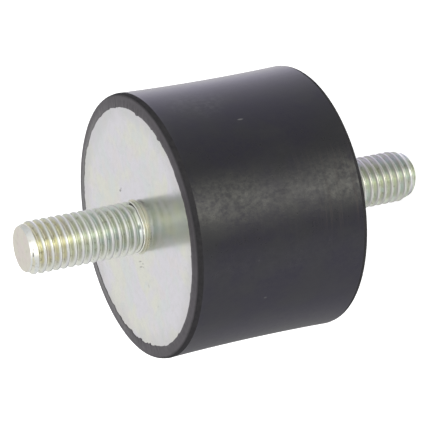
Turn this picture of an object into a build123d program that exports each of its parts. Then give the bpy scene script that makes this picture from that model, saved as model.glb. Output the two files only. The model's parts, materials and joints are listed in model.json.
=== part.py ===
from build123d import *
import os

# Cylindrical (bobbin) anti-vibration mount, stud at both ends.
# Millimetres. +Z runs along the studs. The origin is the centre of the lower
# plate's outer face, so the rubber body fills z = 0 .. body_height.

# ---- driving dimensions ----------------------------------------------------
body_diameter = 50.0       # rubber body, over the two end rims
body_height = 35.0         # from one plate's outer face to the other's
waist_depth = 0.3          # how far the moulded side is drawn in at mid height
rim_bevel_axial = 0.85     # bevel of each rim, measured along Z
rim_bevel_radial = 0.4     # and measured towards the axis

plate_diameter = 46.0      # bonded steel end plate
plate_thickness = 3.0
plate_edge_bevel = 0.4     # broken edge on the plate's rubber side
plate_hole_diameter = 10.3 # punched hole the stud's collar is pressed into
plate_hole_bevel = 0.25    # mouth of that hole, on the outer face

stud_diameter = 9.84       # M10 x 1.5 external thread, measured over the crests
stud_length = 23.0         # thread standing clear of the plate
tip_bevel_axial = 1.5      # one pitch
tip_bevel_radial = 0.84    # leaves a flat about as wide as the thread's core
collar_setback = 0.4       # collar stops this far below the plate's outer face
neck_diameter = 9.2        # undercut between the collar and the thread
head_diameter = 18.0       # low head, behind the plate and bonded in the rubber
head_thickness = 3.5
head_edge_bevel = 0.5

# ---- derived ---------------------------------------------------------------
body_r = body_diameter / 2
plate_r = plate_diameter / 2
hole_r = plate_hole_diameter / 2
stud_r = stud_diameter / 2
neck_r = neck_diameter / 2
head_r = head_diameter / 2
mid_z = body_height / 2

os.makedirs("parts", exist_ok=True)

# ---- lower plate: outer face at z = 0 --------------------------------------
with BuildPart() as lower_plate:
    with BuildSketch(Plane.XY):
        Circle(plate_r)
    extrude(amount=plate_thickness)
    Hole(radius=hole_r)
    # rim edge on the rubber side
    chamfer(
        lower_plate.faces().sort_by(Axis.Z)[-1].edges().sort_by(SortBy.RADIUS)[-1],
        length=plate_edge_bevel,
    )
    # mouth of the hole on the outer face
    chamfer(
        lower_plate.faces().sort_by(Axis.Z)[0].edges().sort_by(SortBy.RADIUS)[0],
        length=plate_hole_bevel,
    )
lower_plate.part.label = "lower_plate"

# ---- upper plate: the same stamping turned over, outer face at the top ------
with BuildPart() as upper_plate:
    with BuildSketch(Plane.XY.offset(body_height - plate_thickness)):
        Circle(plate_r)
    extrude(amount=plate_thickness)
    Hole(radius=hole_r)
    chamfer(
        upper_plate.faces().sort_by(Axis.Z)[0].edges().sort_by(SortBy.RADIUS)[-1],
        length=plate_edge_bevel,
    )
    chamfer(
        upper_plate.faces().sort_by(Axis.Z)[-1].edges().sort_by(SortBy.RADIUS)[0],
        length=plate_hole_bevel,
    )
upper_plate.part.label = "upper_plate"

# ---- lower stud: head in the rubber, thread pointing down -------------------
with BuildPart() as lower_stud:
    # low head, seated on the plate's inner face
    with BuildSketch(Plane.XY.offset(plate_thickness)):
        Circle(head_r)
    extrude(amount=head_thickness)
    chamfer(
        lower_stud.faces().sort_by(Axis.Z)[-1].edges(),
        length=head_edge_bevel,
    )
    # collar pressed in the plate's hole
    with BuildSketch(Plane.XY.offset(collar_setback)):
        Circle(hole_r)
    extrude(amount=plate_thickness - collar_setback)
    # undercut, in the mouth of the hole
    with BuildSketch(Plane.XY):
        Circle(neck_r)
    extrude(amount=collar_setback)
    # threaded shank, at its crest diameter
    with BuildSketch(Plane.XY.offset(-stud_length)):
        Circle(stud_r)
    extrude(amount=stud_length)
    chamfer(
        lower_stud.faces().sort_by(Axis.Z)[0].edges(),
        length=tip_bevel_axial,
        length2=tip_bevel_radial,
        reference=lower_stud.faces()
        .filter_by(GeomType.CYLINDER)
        .sort_by(Axis.Z)[0],
    )
lower_stud.part.label = "lower_stud"

# ---- upper stud: the same stud turned over ---------------------------------
with BuildPart() as upper_stud:
    with BuildSketch(
        Plane.XY.offset(body_height - plate_thickness - head_thickness)
    ):
        Circle(head_r)
    extrude(amount=head_thickness)
    chamfer(
        upper_stud.faces().sort_by(Axis.Z)[0].edges(),
        length=head_edge_bevel,
    )
    with BuildSketch(Plane.XY.offset(body_height - plate_thickness)):
        Circle(hole_r)
    extrude(amount=plate_thickness - collar_setback)
    with BuildSketch(Plane.XY.offset(body_height - collar_setback)):
        Circle(neck_r)
    extrude(amount=collar_setback)
    with BuildSketch(Plane.XY.offset(body_height)):
        Circle(stud_r)
    extrude(amount=stud_length)
    chamfer(
        upper_stud.faces().sort_by(Axis.Z)[-1].edges(),
        length=tip_bevel_axial,
        length2=tip_bevel_radial,
        reference=upper_stud.faces()
        .filter_by(GeomType.CYLINDER)
        .sort_by(Axis.Z)[-1],
    )
upper_stud.part.label = "upper_stud"

# ---- rubber body -----------------------------------------------------------
# One moulding around both plates and both heads. Half of its outer section is
# drawn in the XZ plane and turned about Z; the side is one shallow arc between
# the two bevelled rims.
with BuildPart() as rubber_body:
    with BuildSketch(Plane.XZ):
        with BuildLine():
            Polyline(
                (0, 0),
                (body_r - rim_bevel_radial, 0),
                (body_r, rim_bevel_axial),
            )
            ThreePointArc(
                (body_r, rim_bevel_axial),
                (body_r - waist_depth, mid_z),
                (body_r, body_height - rim_bevel_axial),
            )
            Polyline(
                (body_r, body_height - rim_bevel_axial),
                (body_r - rim_bevel_radial, body_height),
                (0, body_height),
                (0, 0),
            )
        make_face()
    revolve(axis=Axis.Z)
    # pockets the plates sit in, flush with the rims
    add(lower_plate.part, mode=Mode.SUBTRACT)
    add(upper_plate.part, mode=Mode.SUBTRACT)
    # nothing of the rubber is left in the plates' holes
    with BuildSketch(Plane.XY):
        Circle(hole_r + plate_hole_bevel)
    extrude(amount=plate_thickness, mode=Mode.SUBTRACT)
    with BuildSketch(Plane.XY.offset(body_height - plate_thickness)):
        Circle(hole_r + plate_hole_bevel)
    extrude(amount=plate_thickness, mode=Mode.SUBTRACT)
    # pockets around the two heads
    add(lower_stud.part, mode=Mode.SUBTRACT)
    add(upper_stud.part, mode=Mode.SUBTRACT)
rubber_body.part.label = "rubber_body"

export_step(lower_plate.part, "parts/lower_plate.step")
export_step(upper_plate.part, "parts/upper_plate.step")
export_step(lower_stud.part, "parts/lower_stud.step")
export_step(upper_stud.part, "parts/upper_stud.step")
export_step(rubber_body.part, "parts/rubber_body.step")

for piece in (lower_plate, upper_plate, lower_stud, upper_stud, rubber_body):
    box = piece.part.bounding_box()
    print(
        piece.part.label,
        "volume mm3", round(piece.part.volume, 1),
        "z", round(box.min.Z, 3), "to", round(box.max.Z, 3),
        "width", round(box.size.X, 3),
    )
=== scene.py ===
import json
import math

import bpy
import numpy as np
from mathutils import Matrix, Vector


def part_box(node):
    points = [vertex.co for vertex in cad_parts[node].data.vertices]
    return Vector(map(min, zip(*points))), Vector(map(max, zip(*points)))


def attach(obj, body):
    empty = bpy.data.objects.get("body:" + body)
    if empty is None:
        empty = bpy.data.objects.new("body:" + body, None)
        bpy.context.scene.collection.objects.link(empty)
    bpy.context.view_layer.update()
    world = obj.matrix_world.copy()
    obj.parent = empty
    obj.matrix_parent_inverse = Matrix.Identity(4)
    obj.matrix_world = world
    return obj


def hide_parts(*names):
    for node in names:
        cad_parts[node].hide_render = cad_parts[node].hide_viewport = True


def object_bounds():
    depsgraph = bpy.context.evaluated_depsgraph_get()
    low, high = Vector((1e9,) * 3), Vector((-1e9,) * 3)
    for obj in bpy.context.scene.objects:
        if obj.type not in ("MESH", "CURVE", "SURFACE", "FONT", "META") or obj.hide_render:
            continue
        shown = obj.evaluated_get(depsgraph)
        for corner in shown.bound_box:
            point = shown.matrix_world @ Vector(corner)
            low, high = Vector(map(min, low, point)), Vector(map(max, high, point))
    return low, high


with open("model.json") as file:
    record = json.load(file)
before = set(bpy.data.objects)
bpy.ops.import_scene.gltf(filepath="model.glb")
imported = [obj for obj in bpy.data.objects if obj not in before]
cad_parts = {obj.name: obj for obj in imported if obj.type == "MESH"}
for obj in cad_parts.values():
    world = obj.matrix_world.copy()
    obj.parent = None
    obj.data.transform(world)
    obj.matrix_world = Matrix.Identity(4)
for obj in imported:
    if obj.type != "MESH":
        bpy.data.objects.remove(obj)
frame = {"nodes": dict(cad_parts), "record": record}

# ---------------------------------------------------------------------------
# Bobbin vibration mount. Everything is in metres, in the CAD frame: +Z along
# the studs, origin at the centre of the lower plate's outer face.
# Lengths inside the shape code are millimetres and are scaled once, at the end.
# ---------------------------------------------------------------------------
MM = 0.001
cad_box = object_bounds()
rub_lo, rub_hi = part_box("rubber_body")
up_lo, up_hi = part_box("upper_plate")
us_lo, us_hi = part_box("upper_stud")
ls_lo, ls_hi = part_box("lower_stud")
record = frame["record"]
mounts = {m["name"]: m for m in record["mounts"]}

H = (rub_hi.z - rub_lo.z) / MM            # 35
BODY_R = rub_hi.x / MM                    # 25
PLATE_R = up_hi.x / MM                    # 23
PLATE_T = (up_hi.z - up_lo.z) / MM        # 3
HEAD_R = us_hi.x / MM                     # 9
STUD_R = mounts["upper_stud"]["dims"]["r_mm"]
STUD_L = us_hi.z / MM - H                 # 23
HEAD_IN = H - us_lo.z / MM                # head's inner face, below the plate's face
PITCH = 1.5
HOLE_R = 5.15
RIM_BEVEL_Z, RIM_BEVEL_R = 0.85, 0.4
WAIST = 0.3


# ---------------------------------------------------------------------------
# small tools
# ---------------------------------------------------------------------------
def ring_noise(n, cells, seed):
    """Smooth periodic noise in -1..1 round a ring of n points."""
    rng = np.random.RandomState(seed)
    k = rng.uniform(-1, 1, cells)
    t = np.arange(n) / n * cells
    i = np.floor(t).astype(int)
    f = t - i
    f = f * f * (3 - 2 * f)
    return k[i % cells] * (1 - f) + k[(i + 1) % cells] * f


def smooth(a, b, x):
    t = np.clip((x - a) / (b - a), 0, 1)
    return t * t * (3 - 2 * t)


class Loft:
    """Rings of points about Z, bridged into a closed surface."""

    def __init__(self):
        self.v, self.f, self.m = [], [], []
        self.n = 0

    def ring(self, n, r, z, turn=0.0):
        th = np.arange(n) / n * 2 * math.pi + turn
        r = np.broadcast_to(np.asarray(r, float), (n,))
        z = np.broadcast_to(np.asarray(z, float), (n,))
        self.v.append(np.stack([r * np.cos(th), r * np.sin(th), z], 1))
        start = self.n
        self.n += n
        return (start, n)

    def point(self, z):
        self.v.append(np.array([[0.0, 0.0, z]]))
        self.n += 1
        return (self.n - 1, 1)

    def bridge(self, a, b, mat=0):
        """Ring counts are equal, or one is a whole multiple of the other, or one is a point."""
        (sa, na), (sb, nb) = a, b
        if na == 1 or nb == 1:
            s, n, p = (sb, nb, sa) if na == 1 else (sa, na, sb)
            new = [(s + i, s + (i + 1) % n, p) for i in range(n)]
        elif na == nb:
            new = [
                (sa + i, sa + (i + 1) % na, sb + (i + 1) % nb, sb + i)
                for i in range(na)
            ]
        else:
            if na > nb:
                (sa, na), (sb, nb) = (sb, nb), (sa, na)
            k = nb // na
            new = []
            for i in range(na):
                i2 = (i + 1) % na
                half = k // 2
                for j in range(k):
                    apex = sa + i if j < half else sa + i2
                    new.append((sb + i * k + j, sb + (i * k + j + 1) % nb, apex))
                new.append((sa + i, sa + i2, sb + i * k + half))
        self.f += new
        self.m += [mat] * len(new)
        return b


def mesh_object(name, verts, faces, mats, mat_index=None, smooth_angle=30.0):
    me = bpy.data.meshes.new(name)
    me.from_pydata((np.asarray(verts) * MM).tolist(), [], [list(map(int, f)) for f in faces])
    me.update()
    for m in mats:
        me.materials.append(m)
    if mat_index is not None:
        me.polygons.foreach_set("material_index", np.asarray(mat_index, np.int32))
    import bmesh

    bm = bmesh.new()
    bm.from_mesh(me)
    bmesh.ops.remove_doubles(bm, verts=bm.verts, dist=2e-7)
    bmesh.ops.dissolve_degenerate(bm, edges=bm.edges, dist=1e-7)
    bmesh.ops.recalc_face_normals(bm, faces=bm.faces)
    limit = math.radians(smooth_angle)
    for e in bm.edges:
        e.smooth = len(e.link_faces) == 2 and e.calc_face_angle(0.0) < limit
    for f in bm.faces:
        f.smooth = True
    bm.to_mesh(me)
    bm.free()
    o = bpy.data.objects.new(name, me)
    bpy.context.scene.collection.objects.link(o)
    return o


# ---------------------------------------------------------------------------
# materials
# ---------------------------------------------------------------------------
class Mat:
    """A little wrapper for building node materials."""

    def __init__(self, name):
        self.m = bpy.data.materials.new(name)
        self.m.use_nodes = True
        self.t = self.m.node_tree
        self.t.nodes.clear()
        self.out = self.t.nodes.new("ShaderNodeOutputMaterial")
        self.bsdf = self.t.nodes.new("ShaderNodeBsdfPrincipled")
        self.t.links.new(self.bsdf.outputs[0], self.out.inputs[0])
        self.co = self.t.nodes.new("ShaderNodeTexCoord").outputs["Object"]

    def link(self, a, b):
        self.t.links.new(a, b)

    def math(self, op, a, b=None, c=None, clamp=False):
        n = self.t.nodes.new("ShaderNodeMath")
        n.operation = op
        n.use_clamp = clamp
        for i, x in enumerate((a, b, c)):
            if x is None:
                continue
            if isinstance(x, (int, float)):
                n.inputs[i].default_value = x
            else:
                self.link(x, n.inputs[i])
        return n.outputs[0]

    def xyz(self, vec=None):
        n = self.t.nodes.new("ShaderNodeSeparateXYZ")
        self.link(vec or self.co, n.inputs[0])
        return n.outputs

    def combine(self, x, y, z):
        n = self.t.nodes.new("ShaderNodeCombineXYZ")
        for i, v in enumerate((x, y, z)):
            if isinstance(v, (int, float)):
                n.inputs[i].default_value = v
            else:
                self.link(v, n.inputs[i])
        return n.outputs[0]

    def scaled(self, s, vec=None, add=(0, 0, 0)):
        n = self.t.nodes.new("ShaderNodeMapping")
        self.link(vec or self.co, n.inputs["Vector"])
        n.inputs["Scale"].default_value = s
        n.inputs["Location"].default_value = add
        return n.outputs[0]

    def noise(self, scale, detail=2.0, rough=0.5, vec=None, distortion=0.0):
        n = self.t.nodes.new("ShaderNodeTexNoise")
        self.link(vec or self.co, n.inputs["Vector"])
        n.inputs["Scale"].default_value = scale
        n.inputs["Detail"].default_value = detail
        n.inputs["Roughness"].default_value = rough
        n.inputs["Distortion"].default_value = distortion
        return n.outputs[0]

    def voronoi(self, scale, vec=None, feature="F1"):
        n = self.t.nodes.new("ShaderNodeTexVoronoi")
        n.feature = feature
        self.link(vec or self.co, n.inputs["Vector"])
        n.inputs["Scale"].default_value = scale
        return n

    def step(self, x, lo, hi, a=0.0, b=1.0, kind="SMOOTHSTEP"):
        n = self.t.nodes.new("ShaderNodeMapRange")
        n.interpolation_type = kind
        self.link(x, n.inputs["Value"])
        n.inputs["From Min"].default_value = lo
        n.inputs["From Max"].default_value = hi
        n.inputs["To Min"].default_value = a
        n.inputs["To Max"].default_value = b
        return n.outputs[0]

    def mix(self, f, a, b, blend="MIX"):
        n = self.t.nodes.new("ShaderNodeMix")
        n.data_type = "RGBA"
        n.blend_type = blend
        if isinstance(f, (int, float)):
            n.inputs["Factor"].default_value = f
        else:
            self.link(f, n.inputs["Factor"])
        for i, v in ((6, a), (7, b)):
            if isinstance(v, (tuple, list)):
                n.inputs[i].default_value = (*v[:3], 1)
            else:
                self.link(v, n.inputs[i])
        return n.outputs[2]

    def bump(self, height, distance, strength=1.0, normal=None):
        n = self.t.nodes.new("ShaderNodeBump")
        n.inputs["Strength"].default_value = strength
        n.inputs["Distance"].default_value = distance
        self.link(height, n.inputs["Height"])
        if normal is not None:
            self.link(normal, n.inputs["Normal"])
        return n.outputs[0]

    def set(self, **k):
        names = {
            "color": "Base Color", "rough": "Roughness", "metal": "Metallic",
            "spec": "Specular IOR Level", "normal": "Normal", "ior": "IOR",
            "tint": "Specular Tint",
        }
        for key, v in k.items():
            s = self.bsdf.inputs[names[key]]
            if isinstance(v, (int, float)):
                s.default_value = v
            elif isinstance(v, (tuple, list)):
                s.default_value = (*v[:3], 1)
            else:
                self.link(v, s)


def spot(M, place, radii):
    """1 inside a small ellipsoid at place (mm), 0 outside."""
    v = M.scaled((1000 / radii[0], 1000 / radii[1], 1000 / radii[2]),
                 add=(-place[0] / radii[0], -place[1] / radii[1], -place[2] / radii[2]))
    n = M.t.nodes.new("ShaderNodeVectorMath")
    n.operation = "LENGTH"
    M.link(v, n.inputs[0])
    return M.step(n.outputs["Value"], 0.45, 1.0, 1.0, 0.0)


def rubber_side():
    M = Mat("rubber_side")
    x, y, z = M.xyz()
    # soft mottling, longer along Z, left by the flow in the mould
    mottle = M.noise(1150, 3, 0.66, M.scaled((1, 1, 0.8)))
    # it shows most across the middle of the side that faces out
    calm = M.math("MULTIPLY", M.step(x, 0.010, 0.018, 1.0, 0.22), M.step(x, -0.019, -0.011, 0.35, 1.0))
    fine = M.noise(3300, 2, 0.6, M.scaled((1, 1, 0.6)))
    cloud = M.noise(120, 2, 0.5)
    patch = M.noise(260, 2, 0.5, M.scaled((1, 1, 0.7), add=(0.2, 0.1, 0.4)))
    # turned marks of the mould, round the body, strongest close to the lower rim; their pale reddish colour is partly a
    # painted highlight
    marks_z = M.noise(2100, 2, 0.6, M.scaled((0.05, 0.05, 1)))
    near_low = M.math("MULTIPLY", M.step(z, 0.003, 0.018, 1.0, 0.16), M.math("MULTIPLY", M.step(x, 0.0045, 0.0095, 1.0, 0.0), M.step(x, -0.010, -0.003, 0.0, 1.0)))
    base = M.mix(M.step(cloud, 0.38, 0.62), (0.0058, 0.0050, 0.0108), (0.0086, 0.0088, 0.0096))
    base = M.mix(M.math("MULTIPLY", M.step(patch, 0.5, 0.72), 0.5), base, (0.0135, 0.0140, 0.0135))
    base = M.mix(M.math("MULTIPLY", M.step(mottle, 0.68, 0.30, 0.0, 1.0, "LINEAR"), M.math("MULTIPLY", calm, 0.5)), base, (0.0150, 0.0150, 0.0140))
    # painted highlight: a lighter, yellowish strip down the side that faces out, along the lamp's highlight band,
    # strongest near both ends
    painted_light_strip = M.math("MULTIPLY", M.step(x, -0.0045, 0.0005), M.step(x, 0.0078, 0.0036))
    painted_light_strip = M.math("MULTIPLY", painted_light_strip, M.step(y, -0.012, -0.018))
    ends = M.math("MAXIMUM", M.step(z, 0.016, 0.025, 0.0, 1.15), M.step(z, 0.013, 0.004, 0.0, 1.6))
    painted_light_strip = M.math("MULTIPLY", painted_light_strip, M.math("ADD", M.math("MULTIPLY", ends, 0.85), 0.13))
    base = M.mix(M.math("MULTIPLY", M.step(mottle, 0.64, 0.34, 0.0, 1.0, "LINEAR"), M.math("MULTIPLY", painted_light_strip, 0.62)), base, (0.042, 0.042, 0.036))
    # partly painted highlight: the marks' pale reddish colour is kept to the band about x = 0, where the lamp's
    # highlight runs
    base = M.mix(M.math("MULTIPLY", M.step(marks_z, 0.5, 0.7), M.math("MULTIPLY", M.math("MULTIPLY", near_low, calm), 0.45)),
                 base, (0.034, 0.026, 0.023))
    # a faint bloom high on one side
    a = math.radians(-90 + 57)
    bloom = spot(M, (24.7 * math.cos(a), 24.7 * math.sin(a), 25.5), (7.5, 7.5, 8.0))
    base = M.mix(M.math("MULTIPLY", bloom, M.step(mottle, 0.35, 0.75, 0.0, 0.8)), base, (0.030, 0.031, 0.033))
    # dust and small pale nicks
    speck = M.voronoi(300)
    hit = M.math("MULTIPLY", M.step(speck.outputs["Distance"], 0.03, 0.08, 1, 0),
                 M.step(M.xyz(speck.outputs["Color"])[0], 0.955, 0.965))
    base = M.mix(M.math("MULTIPLY", hit, 0.22), base, (0.16, 0.155, 0.15))
    rb = BODY_R - 0.29
    a = math.radians(-90 + 38.8)
    scratch = spot(M, (rb * math.cos(a), rb * math.sin(a), 19.2), (0.22, 0.22, 0.75))
    base = M.mix(M.math("MULTIPLY", scratch, 0.36), base, (0.22, 0.22, 0.21))
    a = math.radians(-90 - 43.7)
    fleck = spot(M, (rb * math.cos(a), rb * math.sin(a), 20.5), (0.22, 0.22, 0.4))
    base = M.mix(M.math("MULTIPLY", fleck, 0.24), base, (0.2, 0.2, 0.19))
    uneven = M.math("ADD", M.step(mottle, 0.25, 0.75, -0.085, 0.085, "LINEAR"), M.step(patch, 0.3, 0.7, -0.03, 0.03, "LINEAR"))
    rough = M.math("ADD", M.math("MULTIPLY", uneven, calm), 0.34)
    rough = M.math("ADD", rough, M.math("MULTIPLY", M.step(marks_z, 0.3, 0.7, -0.08, 0.08, "LINEAR"), near_low))
    rough = M.math("MAXIMUM", rough, 0.25)
    h = M.math("ADD", M.math("MULTIPLY", mottle, 1.0), M.math("MULTIPLY", fine, 0.40))
    h = M.math("ADD", h, M.math("MULTIPLY", marks_z, M.math("MULTIPLY", near_low, 0.8)))
    h = M.math("MULTIPLY", h, calm)
    n = M.bump(h, 0.000022)
    M.set(color=base, rough=rough, ior=1.42, tint=(0.92, 0.905, 1.0), normal=n)
    M.bsdf.inputs["Sheen Weight"].default_value = 0.06
    M.bsdf.inputs["Sheen Roughness"].default_value = 0.35
    M.bsdf.inputs["Sheen Tint"].default_value = (0.95, 0.93, 1.0, 1)
    return M.m


def rubber_rim():
    """The ring round each plate, and the matte cut edge outside it."""
    M = Mat("rubber_rim")
    x, y, z = M.xyz()
    r = M.math("SQRT", M.math("ADD", M.math("MULTIPLY", x, x), M.math("MULTIPLY", y, y)))
    n1 = M.noise(1500, 3, 0.6)
    n2 = M.noise(260, 2, 0.5)
    edge = M.step(M.math("ADD", r, M.math("MULTIPLY", M.math("SUBTRACT", n1, 0.5), 0.0003)),
                  0.0243, 0.0249)
    ring = M.mix(M.step(n2, 0.3, 0.7), (0.0345, 0.0285, 0.0365), (0.0465, 0.0395, 0.0485))
    # painted light: the ring is made lighter toward +Y and +X
    painted_light_side = M.step(M.math("ADD", y, M.math("MULTIPLY", x, 0.25)), 0.002, 0.024)
    ring = M.mix(M.math("MULTIPLY", painted_light_side, M.step(n1, 0.3, 0.7, 0.35, 0.85)), ring, (0.083, 0.073, 0.081))
    # painted light: on that side the ring is palest at its inner edge
    inner = M.step(M.math("ADD", r, M.math("MULTIPLY", M.math("SUBTRACT", n1, 0.5), 0.0006)), 0.0229, 0.0240, 1.0, 0.0)
    ring = M.mix(M.math("MULTIPLY", M.math("MULTIPLY", painted_light_side, inner), 0.75), ring, (0.19, 0.187, 0.185))
    # painted shade: the ring is darker on its side nearest -Y
    ring = M.mix(M.math("MULTIPLY", M.step(y, -0.0205, -0.0235), 0.18), ring, (0.020, 0.019, 0.021))
    cut = M.mix(M.step(n1, 0.3, 0.7), (0.0220, 0.0212, 0.0230), (0.0300, 0.0292, 0.0312))
    rough = M.math("ADD", M.math("MULTIPLY", edge, 0.42), M.step(n1, 0.3, 0.7, 0.34, 0.44))
    M.set(color=M.mix(edge, ring, cut), rough=rough, ior=1.45,
          normal=M.bump(n1, 0.000012))
    return M.m


def rubber_cut():
    M = Mat("rubber_cut_edge")
    n1 = M.noise(1300, 3, 0.6)
    n2 = M.noise(300, 2, 0.5)
    c = M.mix(M.step(n1, 0.3, 0.7), (0.0222, 0.0212, 0.0232), (0.0312, 0.0302, 0.0322))
    c = M.mix(M.math("MULTIPLY", M.step(n2, 0.45, 0.75), 0.35), c, (0.038, 0.037, 0.039))
    M.set(color=c, rough=M.step(n1, 0.3, 0.7, 0.72, 0.86), ior=1.17, normal=M.bump(n1, 0.00002))
    return M.m


def zinc_plate():
    M = Mat("plate_zinc")
    cloud = M.noise(130, 2, 0.5)
    cloud2 = M.noise(170, 2, 0.55, M.scaled((1, 1, 1), add=(0.3, 0.1, 0)))
    cloud3 = M.noise(240, 2, 0.55, M.scaled((1, 1, 1), add=(0.7, 0.5, 0)))
    grain = M.noise(2600, 3, 0.6)
    wave = M.noise(190, 1, 0.4)
    c = M.mix(M.step(cloud, 0.42, 0.58), (0.732, 0.715, 0.757), (0.745, 0.746, 0.672))
    c = M.mix(M.math("MULTIPLY", M.step(cloud2, 0.5, 0.62), 0.6), c, (0.690, 0.731, 0.722))
    c = M.mix(M.math("MULTIPLY", M.step(cloud3, 0.52, 0.66), 0.5), c, (0.752, 0.708, 0.706))
    c = M.mix(M.math("MULTIPLY", M.step(M.noise(1100, 3, 0.65), 0.40, 0.75), 0.24), c, (0.56, 0.56, 0.55))
    x, y, z = M.xyz()
    r = M.math("SQRT", M.math("ADD", M.math("MULTIPLY", x, x), M.math("MULTIPLY", y, y)))
    # painted shade: the plate darkens toward the rubber rim
    painted_shade_margin = M.step(M.math("ADD", r, M.math("MULTIPLY", M.math("SUBTRACT", cloud2, 0.5), 0.006)), 0.0185, 0.0228)
    c = M.mix(M.math("MULTIPLY", painted_shade_margin, 0.55), c, (0.58, 0.57, 0.575))
    # a few scuffs on the upper plate
    for sx, sy, rx, ry, k in ((7.25, 4.0, 0.30, 0.62, 0.62), (7.6, 3.5, 0.22, 0.4, 0.4), (-6.45, 1.3, 0.16, 0.85, 0.45),
                              (-6.95, 0.3, 0.2, 0.55, 0.30), (-7.45, 1.4, 0.2, 0.9, 0.42), (-7.6, 0.4, 0.15, 0.4, 0.3),
                              (-11.2, -0.4, 0.5, 0.35, 0.22), (4.9, 8.1, 0.3, 0.2, 0.25), (-15.2, -3.0, 0.2, 0.5, 0.15)):
        s = spot(M, (sx, sy, H), (rx, ry, 0.6))
        c = M.mix(M.math("MULTIPLY", s, k), c, (0.17, 0.17, 0.17))
    speck = M.voronoi(420)
    hit = M.math("MULTIPLY", M.step(speck.outputs["Distance"], 0.08, 0.2, 1, 0),
                 M.step(M.xyz(speck.outputs["Color"])[0], 0.90, 0.93))
    c = M.mix(M.math("MULTIPLY", hit, 0.10), c, (0.35, 0.35, 0.34))
    M.set(color=c, metal=1.0, rough=M.step(cloud2, 0.3, 0.7, 0.15, 0.21),
          normal=M.bump(M.math("ADD", M.math("MULTIPLY", wave, 1.0), M.math("MULTIPLY", grain, 0.05)), 0.00003))
    return M.m


def zinc_stud(name="stud_zinc", tip=False):
    M = Mat(name)
    x, y, z = M.xyz()
    n1 = M.noise(420, 2, 0.5)
    n2 = M.noise(900, 2, 0.5, M.scaled((1, 1, 1), add=(0.5, 0.2, 0.1)))
    grain = M.noise(4200, 2, 0.6)
    if tip:
        c = M.mix(M.step(n1, 0.35, 0.65), (0.725, 0.667, 0.625), (0.715, 0.692, 0.607))
        c = M.mix(M.math("MULTIPLY", M.step(n2, 0.55, 0.75), 0.35), c, (0.60, 0.56, 0.52))
        rough = M.step(n2, 0.3, 0.7, 0.34, 0.46)
    else:
        # rolled crests are burnished; the grooves hold a film that is yellow toward the tip, green-grey toward the plate
        r = M.math("SQRT", M.math("ADD", M.math("MULTIPLY", x, x), M.math("MULTIPLY", y, y)))
        crest = M.step(M.math("ADD", r, M.math("MULTIPLY", M.math("SUBTRACT", n2, 0.5), 0.00025)),
                       0.00455, 0.00488)
        out = M.math("SUBTRACT", M.math("ABSOLUTE", M.math("SUBTRACT", z, H * 0.5 * MM)), H * 0.5 * MM)
        far = M.step(M.math("ADD", out, M.math("MULTIPLY", M.math("SUBTRACT", n1, 0.5), 0.012)), 0.009, 0.019)
        root = M.mix(M.step(n1, 0.38, 0.62), (0.61, 0.645, 0.54), (0.58, 0.645, 0.605))
        warm = M.mix(M.step(n2, 0.38, 0.62), (0.68, 0.665, 0.485), (0.64, 0.625, 0.51))
        low = M.step(z, 0.0, -0.0005)
        root = M.mix(M.math("MULTIPLY", far, M.math("SUBTRACT", 1.0, low)), root, warm)
        root = M.mix(M.math("MULTIPLY", M.step(n2, 0.5, 0.7), 0.4), root, (0.62, 0.56, 0.53))
        # painted light: the grooves on the upper stud's -X side are made lighter
        root = M.mix(M.math("MULTIPLY", M.math("MULTIPLY", M.step(x, -0.0027, -0.0042), M.math("SUBTRACT", 1.0, low)), 0.8), root, (0.74, 0.745, 0.68))
        dark = M.noise(1300, 3, 0.6)
        root = M.mix(M.math("MULTIPLY", M.math("MULTIPLY", M.step(dark, 0.54, 0.74), M.step(out, 0.0015, 0.004, 0.35, 1.0)), 0.7), root, (0.30, 0.29, 0.22))
        top = M.mix(M.step(n1, 0.38, 0.62), (0.64, 0.66, 0.60), (0.63, 0.635, 0.62))
        c = M.mix(M.math("MULTIPLY", crest, M.math("SUBTRACT", 1.0, M.math("MULTIPLY", low, 0.95))), root, top)
        # the lower stud's crests are darkened to about the groove colour; painted light: its +X side is tinted bluish
        # and darker than its -X side
        c = M.mix(M.math("MULTIPLY", M.math("MULTIPLY", low, crest), 0.9), c, (0.50, 0.50, 0.475))
        painted_light_tint = M.mix(M.step(M.math("ADD", x, M.math("MULTIPLY", M.math("SUBTRACT", n1, 0.5), 0.004)), 0.0, 0.002),
                     (1.0, 1.0, 0.975), (0.935, 0.90, 1.01))
        # painted shade: a darker strip just beside x = 0 on the lower stud
        painted_light_strip = M.math("MULTIPLY", M.step(x, -0.0009, 0.0002), M.step(x, 0.0036, 0.0022))
        painted_light_tint = M.mix(painted_light_strip, painted_light_tint, (0.80, 0.79, 0.79))
        c = M.mix(low, c, M.mix(1.0, c, painted_light_tint, "MULTIPLY"))
        rough = M.math("ADD", M.step(n2, 0.3, 0.7, 0.27, 0.36), M.step(crest, 0.0, 1.0, 0.01, 0.02))
    M.set(color=c, metal=1.0, rough=rough, normal=M.bump(grain, 0.000006))
    return M.m


def zinc_neck():
    """The plain neck and staked collar, stained bronze, with fine turned marks."""
    M = Mat("stud_neck")
    x, y, z = M.xyz()
    n1 = M.noise(700, 2, 0.5)
    marks = M.noise(5200, 2, 0.6, M.scaled((0.08, 0.08, 1)))
    c = M.mix(M.step(n1, 0.35, 0.65), (0.62, 0.60, 0.485), (0.58, 0.61, 0.52))
    c = M.mix(M.math("MULTIPLY", M.step(marks, 0.42, 0.6), 0.5), c, (0.47, 0.47, 0.37))
    c = M.mix(M.math("MULTIPLY", M.step(M.noise(1100, 2, 0.5), 0.55, 0.7), 0.4), c, (0.62, 0.56, 0.49))
    M.set(color=c, metal=1.0, rough=M.step(n1, 0.3, 0.7, 0.26, 0.38), normal=M.bump(marks, 0.00001))
    return M.m


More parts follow.
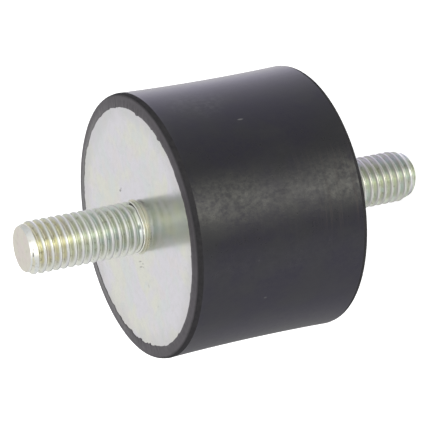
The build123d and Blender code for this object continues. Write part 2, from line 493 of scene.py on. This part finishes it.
def zinc_bevel():
    """Turned lead-in bevels: cleaner metal, with near-black spots near the upper tip, two of them painted shade in the
    gap of a torn first thread, two dark marks by the end face.
    """
    M = Mat("stud_bevel")
    x, y, z = M.xyz()
    n1 = M.noise(520, 2, 0.5)
    n2 = M.noise(1500, 3, 0.6)
    c = M.mix(M.step(n1, 0.38, 0.62), (0.71, 0.71, 0.665), (0.68, 0.70, 0.69))
    c = M.mix(M.math("MULTIPLY", M.step(n2, 0.52, 0.72), 0.5), c, (0.46, 0.45, 0.36))
    # painted shade: the first two spots stand in for the shade in a torn first thread's gap; the last two are dark
    # marks by the end face
    for px, py, pz, rx, ry, rz, k in ((-1.35, -4.02, H + 22.62, 0.75, 0.6, 0.17, 0.85), (-0.55, -4.25, H + 22.45, 0.4, 0.5, 0.14, 0.5),
                                      (-4.1, 0.1, H + 22.75, 0.6, 0.5, 0.4, 0.45), (-3.7, 1.6, H + 22.7, 0.5, 0.4, 0.35, 0.4)):
        s = spot(M, (px, py, pz), (rx, ry, rz))
        c = M.mix(M.math("MULTIPLY", s, k), c, (0.10, 0.10, 0.085))
    low = M.step(z, 0.0, -0.0005)
    c = M.mix(M.math("MULTIPLY", low, 0.5), c, (0.50, 0.50, 0.50))
    M.set(color=c, metal=1.0, rough=M.step(n1, 0.3, 0.7, 0.26, 0.36), normal=M.bump(n2, 0.000008))
    return M.m


def zinc_burr():
    """The clean rolled-over lip at the thread's foot."""
    M = Mat("stud_burr")
    n1 = M.noise(900, 2, 0.5)
    n2 = M.noise(2600, 2, 0.6)
    c = M.mix(M.step(n1, 0.35, 0.65), (0.82, 0.82, 0.78), (0.72, 0.73, 0.66))
    M.set(color=c, metal=1.0, rough=M.step(n2, 0.3, 0.7, 0.28, 0.42), normal=M.bump(n2, 0.000008))
    return M.m


# painted shade: a near-black material for the slit under the thread's lip, standing in for the shade inside it
def slit_painted_shade():
    M = Mat("stud_slit_painted_shade")
    n1 = M.noise(2600, 2, 0.5)
    M.set(color=M.mix(M.step(n1, 0.3, 0.7), (0.09, 0.086, 0.08), (0.20, 0.195, 0.18)), metal=0.4,
          rough=M.step(n1, 0.3, 0.7, 0.5, 0.7), normal=M.bump(n1, 0.00001))
    return M.m


m_side = rubber_side()
m_rim = rubber_rim()
m_cut = rubber_cut()
m_plate = zinc_plate()
m_stud = zinc_stud()
m_tip = zinc_stud("stud_tip", tip=True)
m_neck = zinc_neck()
m_slit_painted_shade = slit_painted_shade()
m_bevel = zinc_bevel()
m_burr = zinc_burr()


# ---------------------------------------------------------------------------
# rubber body: one closed skin, with the plates' and heads' pockets and the
# thin ragged flash that creeps over each plate's edge
# ---------------------------------------------------------------------------
NC, NF = 360, 1440


def flash_edge(seed, teeth, creep):
    """Radius of the flash's inner edge and its thickness, round a ring of NF points."""
    deg = np.arange(NF) / NF * 360
    r = 22.78 + 0.06 * ring_noise(NF, 24, seed) + 0.05 * ring_noise(NF, 90, seed + 1)
    r += np.interp(deg, [a for a, _ in creep], [c for _, c in creep], period=360)
    live = smooth(-0.35, 0.4, ring_noise(NF, 17, seed + 2))
    r += live * (0.08 * ring_noise(NF, 210, seed + 3) + 0.045 * ring_noise(NF, 620, seed + 4))
    r -= 0.16 * live * smooth(0.45, 0.95, ring_noise(NF, 130, seed + 8))
    for at, wide, deep in teeth:
        d = (deg - at + 180) % 360 - 180
        # steep on one side, long on the other
        lean = np.where(d > 0, d / (wide * 0.45), -d / (wide * 1.1))
        r -= deep * np.clip(1 - lean, 0, 1) ** 0.8
    t = 0.11 + 0.03 * ring_noise(NF, 30, seed + 5) + 0.02 * ring_noise(NF, 300, seed + 6)
    return r, t


def end_rings(L, up, seed, teeth, creep, nicks):
    """Rings of one end, from the axis out to the foot of the bevel; up is +1 or -1."""
    face = H if up > 0 else 0.0

    def z(d):  # d is the distance outside the plate's face
        return face + up * d

    rf, t = flash_edge(seed, teeth, creep)
    a = L.point(z(-HEAD_IN))
    b = L.ring(NC, HEAD_R - 0.5, z(-HEAD_IN)); L.bridge(a, b, 2)
    c = L.ring(NC, HEAD_R, z(-HEAD_IN + 0.5)); L.bridge(b, c, 2)
    d = L.ring(NC, HEAD_R, z(-PLATE_T)); L.bridge(c, d, 2)
    e = L.ring(NC, PLATE_R - 0.4, z(-PLATE_T)); L.bridge(d, e, 2)
    f = L.ring(NC, PLATE_R, z(-PLATE_T + 0.4)); L.bridge(e, f, 2)
    g = L.ring(NF, PLATE_R, z(0.003)); L.bridge(f, g, 2)
    h = L.ring(NF, rf, z(0.004)); L.bridge(g, h, 2)
    i = L.ring(NF, rf + 0.010, z(0.004 + 0.55 * t)); L.bridge(h, i, 2)
    j = L.ring(NF, rf + 0.045, z(0.004 + 0.85 * t)); L.bridge(i, j, 2)
    k = L.ring(NF, rf + 0.12, z(t)); L.bridge(j, k, 2)
    w = ring_noise(NF, 200, seed + 9) * 0.012
    l = L.ring(NF, 23.35, z(0.80 * t + w)); L.bridge(k, l, 2)
    m = L.ring(NF, 23.75, z(0.30 * t + w)); L.bridge(l, m, 2)
    wc = w[::4]
    n = L.ring(NC, 24.02, z(0.0)); L.bridge(m, n, 2)
    o = L.ring(NC, 24.44, z(-0.018 + 0.3 * wc)); L.bridge(n, o, 2)
    nick = np.zeros(NF)
    deg = np.arange(NF) / NF * 360
    nick += 0.030 * smooth(0.1, 0.9, ring_noise(NF, 480, seed + 12)) * smooth(-0.1, 0.6, ring_noise(NF, 21, seed + 13))
    for at, wide, deep in nicks:
        dd = (deg - at + 180) % 360 - 180
        nick += deep * np.clip(1 - np.abs(dd) / wide, 0, 1)
    prev = o
    for rr, dz, share in ((24.62, 0.055, 0.2), (24.75, 0.135, 0.4), (24.85, 0.31, 0.7), (24.92, 0.56, 0.9),
                          (24.97, 0.82, 1.0), (24.995, 1.0, 0.8), (25.0, 1.10, 0.5)):
        cur = L.ring(NF, rr - nick * share, z(-dz * (1.0 if up > 0 else 0.76))); L.bridge(prev, cur, 2 if rr < 24.8 else 1)
        prev = cur
    s = prev
    return s


upper_teeth = [(334.0, 2.2, 0.34), (318.0, 1.6, 0.22), (311.3, 1.6, 0.26), (306.0, 1.3, 0.18),
               (41.6, 3.0, 0.22), (16.5, 1.4, 0.10), (129.1, 2.4, 0.25), (148.9, 1.7, 0.34),
               (158.9, 2.6, 0.38), (169.4, 1.5, 0.40), (137.0, 1.8, 0.16), (233.0, 1.4, 0.2),
               (252.0, 1.0, 0.14), (205.0, 2.2, 0.2), (88.0, 1.2, 0.12), (66.0, 0.9, 0.1)]
lower_teeth = [(20.0, 2.0, 0.3), (57.0, 1.4, 0.2), (63.0, 1.2, 0.26), (101.0, 3.0, 0.22),
               (150.0, 1.5, 0.3), (188.0, 2.2, 0.36), (196.0, 1.0, 0.15), (241.0, 1.4, 0.22),
               (300.0, 2.6, 0.3), (331.0, 1.2, 0.2)]

upper_creep = [(10, -0.2), (30, -0.1), (50, 0.15), (70, 0.15), (90, 0.0), (110, -0.1), (130, -0.3), (150, -0.24), (170, -0.32),
               (190, -0.14), (210, 0.0), (230, -0.14), (250, -0.12), (270, 0.0), (290, -0.12), (310, -0.2), (330, -0.42), (350, -0.3)]
lower_creep = [(20, -0.2), (60, -0.05), (110, -0.3), (170, 0.0), (215, -0.25), (270, -0.1), (320, -0.3)]

L = Loft()
s_up = end_rings(L, 1, 11, upper_teeth, upper_creep, [(205.0, 0.5, 0.08)])
s_low = end_rings(L, -1, 47, lower_teeth, lower_creep, [(330.3, 0.45, 0.16), (334.0, 0.5, 0.1), (322.0, 0.4, 0.07)])
# the side, from the upper bevel down to the lower one
rows = 56
zs = np.linspace(H - 1.2, 1.2, rows)
half = H / 2 - RIM_BEVEL_Z
prev = s_up
swell = ring_noise(NC, 7, 5)
for k, zz in enumerate(zs):
    dip = WAIST * (1 - ((zz - H / 2) / half) ** 2)
    away = smooth(0, 5, min(zz, H - zz))
    r = BODY_R - max(dip, 0.0) - 0.02 * away * (0.5 + 0.5 * swell)
    cur = L.ring(NC, r, zz)
    L.bridge(prev, cur, 0)
    prev = cur
L.bridge(prev, s_low, 0)
rubber = mesh_object("rubber_body_skin", np.concatenate(L.v), L.f, [m_side, m_cut, m_rim], L.m, 28)


# ---------------------------------------------------------------------------
# studs: a real right-hand M10 x 1.5 helix over a headed core
# ---------------------------------------------------------------------------
def thread_mesh(phase, seed, foot_h, slit, torn, lead, end_r):
    """A stud standing on a plate whose outer face is z = 0, thread up. phase is where a crest lies, in mm, at angle 0."""
    NT = 128
    crest_r = STUD_R + 0.03
    side = [(0.5, -0.81), (0.45, -0.79), (0.41, -0.745), (0.37, -0.66), (0.265, -0.39), (0.15, -0.09), (0.12, -0.042),
            (0.09, -0.016), (0.05, -0.004)]
    prof = [(-u, h) for u, h in side[1:]] + [(0.0, 0.0)] + [(u, h) for u, h in side[::-1]]
    tip_s = STUD_L
    # height above the plate at which the rolled thread ends in a ragged burr
    deg = np.arange(NT) / NT * 360
    at = np.array([a for a, _ in foot_h] + [foot_h[0][0] + 360.0])
    hh = np.array([h for _, h in foot_h] + [foot_h[0][1]])
    burr = np.interp((deg - at[0]) % 360 + at[0], at, hh)
    burr = (np.roll(burr, 3) + np.roll(burr, -3) + 2 * burr) / 4 + 0.035 * ring_noise(NT, 31, seed + 6)
    start = burr + 0.50 + torn * np.exp(-(((deg - 335 + 180) % 360 - 180) / 8) ** 2)
    first = int(math.floor((start.min() - phase) / PITCH)) - 2
    last = int(math.ceil((tip_s - phase) / PITCH)) + 1
    uv = [(k + u, h) for k in range(first, last + 1) for u, h in prof]
    th = np.arange(NT) / NT * 2 * math.pi
    flat_r = np.interp(np.arange(NT) / NT * 360, [(a - 90) % 360 for a, _ in end_r], [v for _, v in end_r], period=360)
    for _ in range(4):
        flat_r = (np.roll(flat_r, 2) + np.roll(flat_r, -2) + 2 * flat_r) / 4
    rng = np.random.RandomState(seed)
    lumps = [(rng.uniform(0, 2 * math.pi), rng.uniform(1, STUD_L - 1), rng.uniform(0.2, 0.5), rng.uniform(0.02, 0.07))
             for _ in range(26)]
    V, F, Mi = [], [], []
    rows_r, rows_z, rows_b = [], [], []
    for u, h in uv:
        z = PITCH * (u + th / (2 * math.pi)) + phase
        r = crest_r + h + 0 * th
        # the last groove is shallow beside the lip
        w = smooth(start + 0.35, start, z)
        r = np.where(h < 0, np.maximum(r, crest_r - 0.81 + 0.45 * w), r)
        # lead-in bevel, with the edge of the end face just broken
        slope = (STUD_R - flat_r) / lead
        env = flat_r + (tip_s - z) * slope
        env = np.where(tip_s - z < 0.07, flat_r + 0.07 * slope - (0.07 - (tip_s - z)) * 1.0, env)
        bev = env < r
        r = np.minimum(r, env)
        # nicks on the crests
        for (a, s, wide, deep) in lumps:
            da = ((th - a + math.pi) % (2 * math.pi) - math.pi) * STUD_R
            hit = np.exp(-((da / wide) ** 2 + ((z - s) / 0.5) ** 2))
            r = r - deep * hit * np.clip(1 + h / 0.2, 0, 1)
        z = np.clip(z, start, tip_s)
        rows_r.append(r)
        rows_z.append(z)
        rows_b.append(bev)
    R, Z, B = np.array(rows_r), np.array(rows_z), np.array(rows_b).ravel()
    # where the rows are clamped at either end, one radius per column
    n = len(uv)
    ppp = len(prof)
    low_r = 4.62 + 0.04 * ring_noise(NT, 13, seed + 3)
    tip_r = flat_r + 0.07 * (STUD_R - flat_r) / lead - 0.07
    R = np.where(Z <= start[None, :] + 1e-9, low_r[None, :], R)
    R = np.where(Z >= tip_s - 1e-9, tip_r[None, :], R)
    X, Y = R * np.cos(th)[None], R * np.sin(th)[None]
    idx = np.arange(n * NT).reshape(n, NT)
    V = np.stack([X, Y, Z], -1).reshape(-1, 3)
    # a column's row i at the last angle meets row i + ppp at angle 0
    for j in range(NT):
        j2 = (j + 1) % NT
        shift = 0 if j2 else ppp
        for i in range(n - 1):
            i2 = i + shift
            if i2 + 1 > n - 1:
                a, b = idx[min(i2, n - 1), j2], idx[n - 1, j2]
            else:
                a, b = idx[i2, j2], idx[i2 + 1, j2]
            q = (idx[i, j], a, b, idx[i + 1, j])
            F.append(q)
            Mi.append(5 if B[list(q)].all() else 0)
    # the seam's first ppp rows at angle 0 are joined to the clamped foot of the last column
    for i in range(ppp):
        F.append((idx[0, NT - 1], idx[i, 0], idx[i + 1, 0], idx[0, NT - 1]))
        Mi.append(0)
    F2, M2 = [], []
    for q, mi in zip(F, Mi):
        # drop repeated corners
        qq = []
        for v in q:
            if not qq or v != qq[-1]:
                qq.append(v)
        if qq[0] == qq[-1]:
            qq.pop()
        if len(set(qq)) >= 3:
            pts = V[qq]
            uniq = []
            keep = []
            for v, p in zip(qq, pts):
                if all(np.linalg.norm(p - u) > 1e-6 for u in uniq):
                    uniq.append(p)
                    keep.append(v)
            if len(keep) >= 3:
                F2.append(tuple(keep))
                M2.append(mi)
    L = Loft()
    L.v, L.n, L.f, L.m = [V], len(V), F2, M2
    # foot: rolled lip, the slit under it, burr, plain neck, collar staked flush with the plate, head
    foot = L.ring(NT, low_r, start)
    wob = ring_noise(NT, 29, seed + 15)
    lip = 4.78 + 0.03 * wob
    crown = 4.91 + 0.03 * ring_noise(NT, 23, seed + 5) + 0.03 * ring_noise(NT, 47, seed + 7)
    gap = np.interp(deg, [a for a, _ in slit], [g for _, g in slit], period=360)
    gap = np.clip(gap + 0.12 * ring_noise(NT, 37, seed + 16), 0, 1)
    deep = 4.77 - 0.46 * gap
    wide = 0.018 + 0.10 * gap ** 1.5 + torn * np.exp(-(((deg - 335 + 180) % 360 - 180) / 8) ** 2)
    prev = foot
    # material 3 paints the slit's shade dark
    for r, z, m in ((lip - 0.08, start - 0.06, 0), (lip - 0.02, start - 0.12, 0), (lip, burr + wide + 0.13, 0),
                    (lip - 0.05, burr + 0.05 + wide, 0), (np.minimum(lip - 0.07, (lip + deep) / 2), burr + 0.02 + wide, 3), (deep, burr + 0.7 * wide, 0),
                    (deep, burr + 0.1 * wide, 3), (np.maximum(deep + 0.01, crown - 0.17), burr + 0.005, 3),
                    (crown - 0.145, burr - 0.008, 6), (crown - 0.03, burr - 0.11, 6), (crown, burr - 0.15, 6),
                    (crown - 0.03, burr - 0.21, 6), (4.84, burr - 0.27, 2),
                    (4.82, burr - 0.34, 2), (4.81, 0.16, 2), (4.83, 0.08, 2), (4.90, 0.025, 2), (5.02, 0.006, 2),
                    (5.2, 0.004, 2), (5.41, 0.003, 4), (5.45, -0.004, 4), (5.38, -0.03, 4),
                    (5.16, -0.255, 4), (5.15, -0.30, 2), (HOLE_R, -0.4, 2), (HOLE_R, -PLATE_T, 2),
                    (HEAD_R, -PLATE_T, 2), (HEAD_R, -HEAD_IN + 0.5, 2), (HEAD_R - 0.5, -HEAD_IN, 2)):
        cur = L.ring(NT, r, z)
        L.bridge(prev, cur, m)
        prev = cur
    L.bridge(prev, L.point(-HEAD_IN), 2)
    # end face, sheared a little uneven
    face = L.ring(NT, tip_r, tip_s)
    dish = ring_noise(NT, 9, seed + 21)
    a = L.ring(NT, tip_r - 0.4, tip_s - 0.012 + 0.006 * dish)
    L.bridge(face, a, 1)
    b = L.ring(NT, 2.2, tip_s - 0.03 + 0.01 * dish)
    L.bridge(a, b, 1)
    c = L.ring(NT, 0.9, tip_s - 0.035)
    L.bridge(b, c, 1)
    L.bridge(c, L.point(tip_s - 0.035), 1)
    return np.concatenate(L.v), L.f, L.m


def stud(name, top, phase, seed, foot_h, slit, torn, lead, end_r):
    V, F, M = thread_mesh(phase, seed, foot_h, slit, torn, lead, end_r)
    if top:
        V = V + np.array([0, 0, H])
    else:  # turned over about X: still a right-hand thread
        V = V * np.array([1, -1, -1])
    return mesh_object(name, V, F, [m_stud, m_tip, m_neck, m_slit_painted_shade, m_plate, m_bevel, m_burr], M, 40)


# crest positions at angle 0, as distances outside each plate's face
upper_phase = (0.44 - H) % PITCH
lower_phase = (-1.04) % PITCH
stud_up = stud("upper_stud_threaded", True, upper_phase, 3,
               [(0, 0.62), (30, 0.85), (60, 0.98), (90, 0.72), (135, 0.75), (165, 0.9), (181, 1.05), (196, 0.95), (212, 0.84),
                (240, 0.66), (270, 0.78), (300, 0.94), (330, 0.90)],
               [(0, 0.2), (45, 0.3), (90, 0.5), (135, 0.7), (160, 0.3), (182, 1.0), (195, 0.9), (212, 0.2), (223, 0.6), (235, 0.7),
                (250, 0.15), (262, 0.05), (275, 0.2), (286, 0.4), (300, 0.4), (312, 0.5), (325, 0.9), (338, 1.0), (347, 0.3)],
               0.40, 1.5, [(0, 3.82), (45, 3.98), (90, 4.28), (135, 4.30), (180, 4.26), (225, 4.22), (270, 4.18), (315, 3.98)])
stud_low = stud("lower_stud_threaded", False, lower_phase, 8,
                [(0, 0.75), (45, 0.6), (100, 0.82), (160, 0.9), (210, 0.7), (260, 0.78), (320, 0.66)],
                [(0, 0.6), (40, 0.1), (90, 0.9), (130, 0.4), (170, 0.8), (220, 0.2), (260, 0.9), (300, 0.5), (330, 1.0)],
                0.0, 2.3, [(0, 3.85), (60, 4.0), (90, 4.25), (120, 4.2), (145, 4.3), (166, 4.6), (192, 4.6), (210, 4.35), (235, 4.15), (270, 4.1), (310, 3.9)])

# ---------------------------------------------------------------------------
# what replaces what, and what rides on what
# ---------------------------------------------------------------------------
for o, node, slot in ((rubber, "rubber_body", "rubber"), (stud_up, "upper_stud", "stud_zinc"),
                      (stud_low, "lower_stud", "stud_zinc")):
    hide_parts(node)
    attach(o, "root")
for node in ("upper_plate", "lower_plate"):
    o = frame["nodes"][node]
    o.data.materials.clear()
    o.data.materials.append(m_plate)

# ---------------------------------------------------------------------------
# floor, light, camera
# ---------------------------------------------------------------------------
floor_z = cad_box[0].z
me = bpy.data.meshes.new("floor")
S = 3.0
me.from_pydata([(-S, -S, floor_z), (S, -S, floor_z), (S, S, floor_z), (-S, S, floor_z)], [], [(0, 1, 2, 3)])
floor = bpy.data.objects.new("floor", me)
bpy.context.scene.collection.objects.link(floor)
fm = bpy.data.materials.new("floor_white")
fm.use_nodes = True
fb = fm.node_tree.nodes["Principled BSDF"]
fb.inputs["Base Color"].default_value = (0.9, 0.9, 0.9, 1)
fb.inputs["Roughness"].default_value = 0.9
fb.inputs["Specular IOR Level"].default_value = 0.0
fb.inputs["Emission Color"].default_value = (1, 1, 1, 1)
fb.inputs["Emission Strength"].default_value = 0.55
me.materials.append(fm)
floor.visible_diffuse = False
floor.visible_glossy = False
floor.visible_transmission = False
floor.visible_shadow = False

world = bpy.data.worlds.new("studio")
bpy.context.scene.world = world
world.use_nodes = True
wt = world.node_tree
wt.nodes.clear()


def wnode(kind, **k):
    n = wt.nodes.new(kind)
    for a, v in k.items():
        setattr(n, a, v)
    return n


def wmath(op, a, b=None):
    n = wnode("ShaderNodeMath", operation=op)
    for i, v in enumerate((a, b)):
        if v is None:
            continue
        if isinstance(v, (int, float)):
            n.inputs[i].default_value = v
        else:
            wt.links.new(v, n.inputs[i])
    return n.outputs[0]


def wrange(x, lo, hi, a=0.0, b=1.0):
    n = wnode("ShaderNodeMapRange", interpolation_type="SMOOTHSTEP")
    wt.links.new(x, n.inputs["Value"])
    for key, v in (("From Min", lo), ("From Max", hi), ("To Min", a), ("To Max", b)):
        n.inputs[key].default_value = v
    return n.outputs[0]


tc = wnode("ShaderNodeTexCoord")
sep = wnode("ShaderNodeSeparateXYZ")
wt.links.new(tc.outputs["Generated"], sep.inputs[0])
wx, wy, wz = sep.outputs
# azimuth about Z: 0 at -Y, +90 degrees at +X, wrapped to 0..1
az = wmath("ARCTAN2", wx, wmath("MULTIPLY", wy, -1.0))
az01 = wmath("ADD", wmath("DIVIDE", az, 2 * math.pi), 0.5)
TOP = 6.0


def wall(stops, name):
    """Radiance round the studio, from (azimuth in degrees, radiance, tint) stops."""
    ramp = wnode("ShaderNodeValToRGB", name=name)
    wt.links.new(az01, ramp.inputs[0])
    ramp.color_ramp.interpolation = "LINEAR"
    els = ramp.color_ramp.elements
    while len(els) > 1:
        els.remove(els[-1])
    for k, (a, v, tint) in enumerate(stops):
        pos = (a + 180) / 360
        e = els[0] if k == 0 else els.new(pos)
        e.position = pos
        e.color = tuple(v * c / TOP for c in TINTS[tint]) + (1,)
    n = wnode("ShaderNodeVectorMath", operation="SCALE")
    wt.links.new(ramp.outputs[0], n.inputs[0])
    n.inputs["Scale"].default_value = TOP
    return n.outputs[0]


TINTS = {"n": (1, 1, 1), "w": (1.0, 1.0, 0.85), "b": (1.0, 0.98, 1.10), "v": (1.0, 0.985, 1.06), "p": (1.02, 0.98, 1.17)}
LOW = [(-180, 0.50, "n"), (-160, 0.33, "n"), (-148, 0.40, "n"), (-134, 0.58, "v"), (-118, 0.70, "v"), (-102, 0.84, "v"),
       (-86, 1.07, "v"), (-70, 1.28, "v"), (-54, 1.46, "v"), (-41, 1.50, "v"), (-34, 0.90, "n"), (-26, 0.62, "n"),
       (-18, 1.0, "n"), (-12, 2.1, "w"), (-5, 3.8, "w"), (1, 5.1, "w"), (8, 5.1, "w"), (12, 3.1, "w"),
       (17, 1.40, "n"), (24, 0.84, "n"), (31, 0.66, "n"), (44, 0.62, "n"), (60, 0.76, "n"), (76, 0.87, "b"),
       (92, 0.99, "b"), (106, 1.14, "b"), (120, 1.22, "p"), (134, 1.34, "p"), (146, 1.65, "p"), (158, 1.72, "n"),
       (169, 0.80, "n"), (180, 0.50, "n")]
HIGH = [(-180, 0.88, "n"), (-150, 0.93, "n"), (-120, 0.96, "n"), (-90, 0.89, "n"), (-50, 0.86, "n"), (-25, 0.90, "n"),
        (-12, 1.12, "n"), (0, 1.33, "n"), (8, 1.36, "n"), (20, 1.28, "n"), (40, 1.12, "n"), (70, 0.95, "n"),
        (95, 0.78, "n"), (118, 0.70, "n"), (138, 0.76, "n"), (155, 0.83, "n"), (168, 0.88, "n"), (180, 0.88, "n")]


def wmix(f, a, b):
    n = wnode("ShaderNodeMix", data_type="VECTOR")
    wt.links.new(f, n.inputs["Factor"])
    for i, v in ((4, a), (5, b)):
        if isinstance(v, (int, float)):
            n.inputs[i].default_value = (v, v, v)
        else:
            wt.links.new(v, n.inputs[i])
    return n.outputs[1]


body = wmix(wrange(wz, -0.30, -0.12), wall(LOW, "low"), wall(HIGH, "high"))
# a small bright window above the camera, then the darker zenith and the pale nadir
window = wmath("MULTIPLY", wrange(wz, 0.60, 0.70), wrange(wz, 0.95, 0.86))
window = wmath("MULTIPLY", window, wmath("MULTIPLY", wrange(wx, -0.62, -0.35), wrange(wx, 0.35, 0.12)))
window = wmath("MULTIPLY", window, wrange(wy, 0.0, -0.2))
body = wmix(wrange(wz, 0.70, 0.97), body, 0.80)
body = wmix(window, body, 2.4)
body = wmix(wrange(wmath("MULTIPLY", wz, -1.0), 0.65, 0.95), body, 0.8)
lp = wnode("ShaderNodeLightPath")
body = wmix(lp.outputs["Is Camera Ray"], body, 1.0)
bg = wnode("ShaderNodeBackground")
wt.links.new(body, bg.inputs["Color"])
bg.inputs["Strength"].default_value = 1.0
wo = wnode("ShaderNodeOutputWorld")
wt.links.new(bg.outputs[0], wo.inputs[0])

cam_data = bpy.data.cameras.new("camera")
cam = bpy.data.objects.new("camera", cam_data)
bpy.context.scene.collection.objects.link(cam)
bpy.context.scene.camera = cam
fw = Vector((-0.00147258, 0.902838, -0.42997835)).normalized()
right = Vector((-0.19297693, -0.42215318, -0.88574635))
right = (right - fw * right.dot(fw)).normalized()
up = right.cross(fw)
loc = Vector((0.0, -0.42385455, 0.22087977))
cam.matrix_world = Matrix((
    (right.x, up.x, -fw.x, loc.x),
    (right.y, up.y, -fw.y, loc.y),
    (right.z, up.z, -fw.z, loc.z),
    (0, 0, 0, 1)))
cam_data.sensor_width = 36.0
cam_data.lens = 2499.17445 * 36.0 / 431.0
cam_data.clip_start, cam_data.clip_end = 0.01, 20.0

bpy.context.scene.view_settings.view_transform = "Standard"
bpy.context.scene.view_settings.look = "None"
